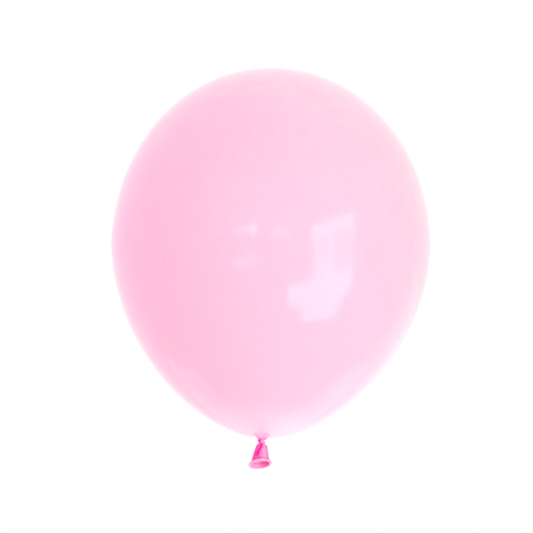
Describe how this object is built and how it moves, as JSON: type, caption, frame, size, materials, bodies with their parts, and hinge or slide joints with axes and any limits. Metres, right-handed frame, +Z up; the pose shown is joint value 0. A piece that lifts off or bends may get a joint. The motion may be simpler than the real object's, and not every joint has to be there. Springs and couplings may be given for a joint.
{
  "type": "round latex balloon",
  "caption": "Inflated round latex balloon, knot down: egg-shaped envelope, flared neck cone, tied overhand knot and a short bell-shaped tail ending in a rolled lip.",
  "frame": {"origin": "neck waist, the squeezed spot between the envelope and the knot where a ribbon is tied", "axes": "+Z up the envelope's own axis towards the crown; the tail and its rolled lip hang below the origin and lean a little towards -Y, which is the side the picture sees"},
  "size_m": [0.3, 0.3, 0.387],
  "materials": {
    "latex_stretched": "glossy, thin stretched film, pale pink",
    "latex_neck": "satin, partly stretched film, mid pink",
    "latex_knot": "satin, unstretched and folded film, hot pink",
    "latex_tail": "satin, unstretched film, bright pink"
  },
  "bodies": {
    "knot": {"knot_loop": "latex_knot", "knot_tuck": "latex_knot"},
    "neck_strand": {"neck_strand": "latex_knot"},
    "neck_cone": {"neck_cone": "latex_neck"},
    "envelope": {"envelope": "latex_stretched"},
    "tail_gather": {"tail_gather": "latex_knot"},
    "tail": {"tail_skirt": "latex_tail", "rolled_lip": "latex_tail"}
  },
  "joints": [
    {"name": "neck_nod", "type": "hinge", "parent": "knot", "child": "neck_strand", "pos_m": [0, 0, 0], "axis": [1, 0, 0], "range_deg": [-25, 25], "stiffness_Nm_per_rad": 0.02},
    {"name": "neck_sway", "type": "hinge", "parent": "neck_strand", "child": "neck_cone", "pos_m": [0, 0, 0], "axis": [0, 1, 0], "range_deg": [-25, 25], "stiffness_Nm_per_rad": 0.02},
    {"name": "neck_twist", "type": "hinge", "parent": "neck_cone", "child": "envelope", "pos_m": [0, 0, 0], "axis": [0, 0, 1], "range_deg": [-180, 180], "stiffness_Nm_per_rad": 0.0005},
    {"name": "tail_nod", "type": "hinge", "parent": "knot", "child": "tail_gather", "pos_m": [0, 0, -0.0054], "axis": [1, 0, 0], "range_deg": [-30, 30], "stiffness_Nm_per_rad": 0.0004},
    {"name": "tail_sway", "type": "hinge", "parent": "tail_gather", "child": "tail", "pos_m": [0, 0, -0.0054], "axis": [0, 1, 0], "range_deg": [-30, 30], "stiffness_Nm_per_rad": 0.0004}
  ]
}
